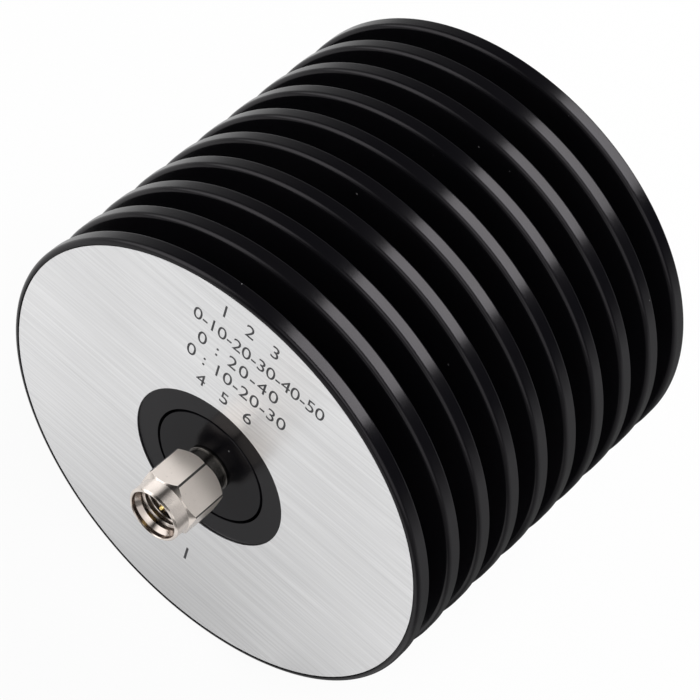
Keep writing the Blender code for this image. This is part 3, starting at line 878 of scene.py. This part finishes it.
def coupling_nut():
    """The hexagon with its turned chamfers, its round nose and its bore with the ring's groove."""
    rear = nut_high.y - FRONT
    front = rear - NUT_LENGTH
    hex_front = front + NUT_NOSE_LENGTH
    corner = NUT_WIDTH / 2 / math.cos(NUT_SECTOR / 2) - NUT_CORNER_FLAT
    lead_start = front + NUT_MOUTH_LENGTH
    lead_end = lead_start + NUT_LEAD_LENGTH
    relief_back = rear - NUT_REAR_BORE_LENGTH
    relief_front = relief_back - NUT_RELIEF_LENGTH
    groove = ring_high.x + NUT_RUNNING_FIT
    groove_back = ring_high.y - FRONT + RING_FIT
    groove_front = ring_low.y - FRONT - RING_FIT

    def outline_at(angle):
        radius = min(hexagon_radius(angle), corner)
        chamfer = NUT_CORNER_HEIGHT * (radius - NUT_NOSE_RADIUS) / (corner - NUT_NOSE_RADIUS)
        return [
            (NUT_MOUTH_RADIUS, front + NUT_MOUTH_EDGE),
            (NUT_MOUTH_RADIUS + NUT_MOUTH_EDGE, front),
            (NUT_NOSE_RADIUS - NUT_FRONT_EDGE, front),
            (NUT_NOSE_RADIUS, front + NUT_FRONT_EDGE),
            (NUT_NOSE_RADIUS, hex_front),
            (radius, hex_front + chamfer),
            (radius, rear - chamfer),
            (NUT_NOSE_RADIUS, rear),
            (NUT_REAR_BORE, rear),
            (NUT_REAR_BORE, groove_back),
            (groove, groove_back),
            (groove, groove_front),
            (NUT_REAR_BORE, groove_front),
            (NUT_REAR_BORE, relief_back),
            (NUT_RELIEF_RADIUS, relief_back),
            (NUT_RELIEF_RADIUS, relief_front),
            (NUT_THREAD_ROOT, relief_front),
            (NUT_THREAD_ROOT, lead_end),
            (NUT_LEAD_RADIUS, lead_end),
            (NUT_MOUTH_RADIUS, lead_start),
        ]

    return revolved("satin_coupling_nut", outline_at, NUT_SEGMENTS, NUT_EDGE_ROUND, NUT_TURN)


def jack_body():
    """Collar, relief and barrel of the jack, with its mouth."""
    seat = core_high.y - FRONT + BODY_SEAT
    collar_back = seat + JACK_COLLAR_THICKNESS
    barrel_front = collar_back + JACK_RELIEF_LENGTH
    back = jack_high.y - FRONT
    plane = back - JACK_MOUTH_DEPTH
    spigot_end = jack_low.y - FRONT
    bead_low, bead_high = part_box("output_bead")
    bead_seat = bead_high.y - FRONT + BEAD_FIT
    outline = [
        (bead_high.x + BEAD_FIT, spigot_end),
        (SPIGOT_RADIUS, spigot_end),
        (SPIGOT_RADIUS, seat),
        (jack_high.x, seat),
        (jack_high.x, collar_back),
        (JACK_RELIEF_RADIUS, collar_back),
        (JACK_RELIEF_RADIUS, barrel_front - JACK_FRONT_EDGE),
        (JACK_THREAD_ROOT, barrel_front),
        (JACK_THREAD_ROOT, back),
        (JACK_MOUTH_RADIUS, back),
        (JACK_MOUTH_RADIUS, plane),
        (LINE_RADIUS, plane),
        (LINE_RADIUS, bead_seat),
        (bead_high.x + BEAD_FIT, bead_seat),
    ]
    return turned("turned_jack_body", outline, CONNECTOR_SEGMENTS)


def thread(name, crest, root, first, last):
    """A helical ridge from one station to another, which rises and runs out over a third of a turn."""
    turns = (last - first) / THREAD_PITCH
    steps = round(turns * THREAD_SEGMENTS)
    fade = THREAD_SEGMENTS / 3
    corners = 4
    outside = crest > root
    sunk = root - THREAD_SINK if outside else root + THREAD_SINK
    vertices = []
    for step in range(steps + 1):
        angle = 2 * math.pi * step / THREAD_SEGMENTS
        middle = first + THREAD_PITCH * step / THREAD_SEGMENTS
        height = min(1.0, step / fade, (steps - step) / fade)
        top = root + (crest - root) * height
        profile = ((sunk, -THREAD_FOOT), (top, -THREAD_TOP), (top, THREAD_TOP), (sunk, THREAD_FOOT))
        for radius, share in profile:
            station = FRONT + middle + share * THREAD_PITCH
            vertices.append((radius * math.cos(angle), station, radius * math.sin(angle)))
    faces = [(0, 1, 2, 3)]
    for step in range(steps):
        here = corners * step
        there = here + corners
        for i in range(corners):
            j = (i + 1) % corners
            faces.append((here + i, there + i, there + j, here + j))
    end = corners * steps
    faces.append((end + 3, end + 2, end + 1, end))
    if outside:
        faces = [tuple(reversed(face)) for face in faces]
    return from_faces(name, vertices, faces)


def nut_thread():
    """The ridge inside the nut, from behind the lead-in cone to the relief."""
    rear = nut_high.y - FRONT
    lead_end = rear - NUT_LENGTH + NUT_MOUTH_LENGTH + NUT_LEAD_LENGTH
    first = lead_end + NUT_THREAD_START * THREAD_PITCH
    last = rear - NUT_REAR_BORE_LENGTH - NUT_RELIEF_LENGTH
    return thread("coupling_nut_thread", NUT_THREAD_CREST, NUT_THREAD_ROOT, first, last)


def jack_thread():
    """The ridge round the barrel of the jack, from behind its relief to its rear end."""
    relief_end = core_high.y - FRONT + JACK_COLLAR_THICKNESS + JACK_RELIEF_LENGTH
    first = relief_end + JACK_THREAD_START * THREAD_PITCH
    last = jack_high.y - FRONT - JACK_THREAD_END * THREAD_PITCH
    return thread("jack_thread", JACK_THREAD_CREST, JACK_THREAD_ROOT, first, last)


def marking(name, words, size, x, z, spacing):
    """A line of marking on the face of the plate."""
    curve = bpy.data.curves.new(name, "FONT")
    curve.body = words
    curve.size = size
    curve.align_x = "CENTER"
    curve.align_y = "CENTER"
    curve.extrude = MARK_THICKNESS
    curve.space_character = spacing
    thing = in_scene(name, curve)
    thing.location = (x, plate_low.y - MARK_LIFT, z)
    thing.rotation_euler = Euler((math.radians(90.0), 0.0, 0.0))
    return thing


def aim(thing, right, up, back, place):
    """Put a camera or a lamp in its place, with its X, Y and Z axes along three directions."""
    thing.matrix_world = Matrix.Translation(place) @ Matrix((right, up, back)).transposed().to_4x4()


def add_camera():
    """The camera, where the photographer's stood."""
    camera = in_scene("camera", bpy.data.cameras.new("camera"))
    camera.data.sensor_width = SENSOR_WIDTH
    camera.data.lens = FOCAL_PIXELS / IMAGE_SIZE * SENSOR_WIDTH
    camera.data.clip_start = CLIP_NEAR
    camera.data.clip_end = CLIP_FAR
    back = -CAMERA_FORWARD.normalized()
    right = (CAMERA_RIGHT - CAMERA_RIGHT.dot(back) * back).normalized()
    aim(camera, right, back.cross(right), back, CAMERA_PLACE + Vector((0.0, FRONT, 0.0)))
    bpy.context.scene.camera = camera


def floor_in_gloss(tree):
    """The brightness of the floor as shiny surfaces see it.

    It rises away from the object, out of painted shade next to it, and then falls off as a painted falloff
    of light. It is darker in painted shadows right in front of the object, at its right side, and in front
    of it at the right. Places are in metres.
    """
    where = node(tree, "ShaderNodeTexCoord")
    parts = node(tree, "ShaderNodeSeparateXYZ")
    away = node(tree, "ShaderNodeVectorMath", operation="LENGTH")
    off_painted_shadow = node(tree, "ShaderNodeVectorMath", operation="DISTANCE")
    off_painted_shadow.inputs[1].default_value = PAINTED_SHADOW_CENTRE
    for socket in (parts.inputs["Vector"], away.inputs[0], off_painted_shadow.inputs[0]):
        tree.links.new(where.outputs["Object"], socket)
    side = parts.outputs["X"]
    depth = parts.outputs["Y"]
    # Painted shade next to the object, and a painted falloff of light far from it
    close = spread(tree, away.outputs["Value"], 0.78, 1.04, 0.03, 0.09)
    far = spread(tree, away.outputs["Value"], 1.0, 0.42, 0.1, 0.38)
    # Painted shadow right in front of the object
    painted_front_shadow = spread(tree, off_painted_shadow.outputs["Value"], 0.74, 1.0, 0.004, 0.034)
    # The painted shadows at the right side and the right front are 1 outside their dim parts
    in_front = combine(
        tree,
        "MINIMUM",
        spread(tree, side, 1.0, 0.0, 0.04, 0.07),
        spread(tree, depth, 1.0, 0.0, -0.035, -0.02),
    )
    painted_right_shadow = combine(
        tree,
        "MAXIMUM",
        in_front,
        spread(tree, side, 1.0, 0.0, 0.015, 0.032),
        spread(tree, side, 0.05, 1.0, 0.03, 0.18),
    )
    painted_right_front_shadow = combine(
        tree,
        "MAXIMUM",
        spread(tree, side, 1.0, 0.0, 0.05, 0.08),
        spread(tree, depth, 0.4, 1.0, -0.06, 0.0),
    )
    return combine(tree, "MULTIPLY", close, far, painted_front_shadow, painted_right_shadow, painted_right_front_shadow)


def add_floor():
    """A white floor under the fins. What the camera and shiny surfaces see of it is lifted towards white,
    with painted shadows in what shiny surfaces see.
    """
    half = FLOOR_HALF
    low = sink_low.z
    corners = [(-half, -half, low), (half, -half, low), (half, half, low), (-half, half, low)]
    thing = from_faces("floor", corners, [(0, 1, 2, 3)])
    made, tree, shader = new_material("white_floor", FLOOR_WHITE, 0.9, metallic=0.0)
    rays = node(tree, "ShaderNodeLightPath")
    shiny = combine(tree, "MAXIMUM", rays.outputs["Is Glossy Ray"], rays.outputs["Is Transmission Ray"])
    seen = combine(tree, "MAXIMUM", rays.outputs["Is Camera Ray"], shiny)
    glow = node(tree, "ShaderNodeEmission")
    tree.links.new(blend(tree, shiny, 1.0, floor_in_gloss(tree)), glow.inputs["Color"])
    mix = node(tree, "ShaderNodeMixShader")
    tree.links.new(combine(tree, "MULTIPLY", seen, FLOOR_LIFT), mix.inputs["Fac"])
    tree.links.new(shader.outputs["BSDF"], mix.inputs[1])
    tree.links.new(glow.outputs["Emission"], mix.inputs[2])
    tree.links.new(mix.outputs["Shader"], tree.nodes["Material Output"].inputs["Surface"])
    thing.data.materials.append(made)


def add_softbox():
    """A rectangular lamp above and behind the object that faces it, with its length along the tilt in Y."""
    lamp = bpy.data.lights.new("key_softbox", "AREA")
    lamp.shape = "RECTANGLE"
    lamp.size = KEY_WIDTH
    lamp.size_y = KEY_LENGTH
    lamp.energy = KEY_RADIANCE * math.pi * KEY_WIDTH * KEY_LENGTH
    toward = Vector(KEY_DIRECTION).normalized()
    side = toward.cross(Vector((0.0, 1.0, 0.0))).normalized()
    aim(in_scene("key_softbox", lamp), side, toward.cross(side), toward, toward * KEY_DISTANCE)


def room_behind(tree, side, height):
    """The brightness of the room behind the object: a dim horizon, brighter and higher at the left."""
    left = spread(tree, height, 0.42, 0.01, 0.0, 0.56)
    right = spread(tree, height, 0.25, 0.0, -0.03, 0.15)
    return blend(tree, spread(tree, side, 0.0, 1.0, -0.25, 0.25), left, right)


def room_in_front(tree, side, depth, height):
    """The brightness of the room in front of the object.

    It is bright at the left and at the right. The middle is dark, but for a low strip.
    """
    left = spread(tree, side, 2.0, 0.05, -0.62, -0.33)
    right = spread(tree, side, 0.0, 2.2, -0.18, 0.12)
    right = combine(tree, "MULTIPLY", right, spread(tree, side, 1.0, 0.45, 0.4, 0.75))
    around_middle = combine(
        tree,
        "MAXIMUM",
        spread(tree, side, 1.0, DARK_LEVEL, -0.56, -0.44),
        spread(tree, side, DARK_LEVEL, 1.0, 0.56, 0.68),
        spread(tree, depth, DARK_LEVEL, 1.0, -0.66, -0.58),
        spread(tree, height, 0.5, DARK_LEVEL, 0.24, 0.36),
    )
    return combine(tree, "MULTIPLY", combine(tree, "ADD", left, right), around_middle)


def add_room():
    """A world that is white to the camera and a room with bright and dim sides for the rest."""
    world = bpy.data.worlds.new("studio")
    world.use_nodes = True
    bpy.context.scene.world = world
    tree = world.node_tree
    tree.nodes.clear()
    where = node(tree, "ShaderNodeTexCoord")
    parts = node(tree, "ShaderNodeSeparateXYZ")
    tree.links.new(where.outputs["Generated"], parts.inputs["Vector"])
    side, depth, height = (parts.outputs[axis] for axis in "XYZ")
    behind = room_behind(tree, side, height)
    front = room_in_front(tree, side, depth, height)
    level = blend(tree, spread(tree, depth, 0.0, 1.0, -0.28, 0.04), front, behind)
    room = node(tree, "ShaderNodeBackground", Strength=1.0)
    tree.links.new(level, room.inputs["Color"])
    white = node(tree, "ShaderNodeBackground", Color=(*WHITE, 1.0), Strength=1.0)
    rays = node(tree, "ShaderNodeLightPath")
    mix = node(tree, "ShaderNodeMixShader")
    tree.links.new(rays.outputs["Is Camera Ray"], mix.inputs["Fac"])
    tree.links.new(room.outputs["Background"], mix.inputs[1])
    tree.links.new(white.outputs["Background"], mix.inputs[2])
    output = node(tree, "ShaderNodeOutputWorld")
    tree.links.new(mix.outputs["Shader"], output.inputs["Surface"])


# Finishes of the pieces
anodised = black_anodised("sink_anodised", SINK_FACE_GLOSS)
core_anodised = black_anodised("core_anodised", CORE_FACE_GLOSS)
plate_metal = brushed_aluminium()
nut_metal = satin_nickel()
# The plug's steel is painted dark, as painted shade behind the nut
plug_steel_painted_shade = satin_steel("plug_steel_painted_shade", PLUG_SIDES_PAINTED_SHADE, PLUG_ENDS_PAINTED_SHADE)
jack_steel = satin_steel("jack_steel", JACK_SIDES, JACK_ENDS)
gold = gold_plate()
ink = plain("marking_ink", INK_DARK, INK_LIGHT, roughness=0.55, waves=3000.0)

# Pieces that stand for solids of the frame, and the threads
settle(heat_sink(), BODY, anodised, "heat_sink", "heat_sink")
settle(plate(), BODY, plate_metal, "label_plate", "label_plate")
settle(core_base(), BODY, core_anodised, "core", "core_base")
settle(plug_body(), BODY, plug_steel_painted_shade, "connector_bodies", "plug_body")
settle(input_pin(), BODY, gold, "contacts", "input_pin")
settle(coupling_nut(), NUT, nut_metal, "coupling_nut", "coupling_nut")
settle(nut_thread(), NUT, nut_metal, "coupling_nut")
settle(jack_body(), BODY, jack_steel, "connector_bodies", "jack_body")
settle(jack_thread(), BODY, jack_steel, "connector_bodies")

# Rows of marking: name, words, size and place across and up in millimetres, and spacing of the letters
rows = (
    ("plate_row_1", "1 2 3", 3.0, 0.0, 28.4, 1.5),
    ("plate_row_2", "0-10-20-30-40-50", 2.9, 2.2, 24.6, 0.98),
    ("plate_row_3", "0 : 20-40", 3.0, -0.2, 21.2, 1.15),
    ("plate_row_4", "0 : 10-20-30", 3.0, 0.3, 17.9, 1.05),
    ("plate_row_5", "4 5 6", 3.0, -0.7, 14.2, 1.45),
    ("port_number", "1", 3.7, 0.6, -19.6, 1.0),
)
for name, words, size, x, z, spacing in rows:
    settle(marking(name, words, size * MM, x * MM, z * MM, spacing), BODY, ink, "label_plate")

# Finishes of the solids inside, which are shown as they are
inner = {
    "core_cover": core_anodised,
    "attenuator_chip": plain("chip_ceramic", CERAMIC_DARK, CERAMIC_LIGHT, roughness=0.55),
    "input_tab": gold,
    "output_tab": gold,
    "input_bead": plain("bead_plastic", PLASTIC_DARK, PLASTIC_LIGHT, roughness=0.42),
    "retaining_ring": plain("spring_steel", SPRING_DARK, SPRING_LIGHT, 0.32, metallic=1.0, waves=4000.0),
    "output_socket": gold,
}
inner["output_bead"] = inner["input_bead"]
screw_steel = plain("screw_steel", SCREW_DARK, SCREW_LIGHT, roughness=0.35, metallic=1.0, waves=3000.0)
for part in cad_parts:
    if "screw" in part:
        inner[part] = screw_steel
for part, finish in inner.items():
    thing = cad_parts[part]
    thing.data.materials.clear()
    thing.data.materials.append(finish)

# Camera and studio
add_camera()
add_floor()
add_softbox()
add_room()
bpy.context.scene.view_settings.view_transform = "Standard"
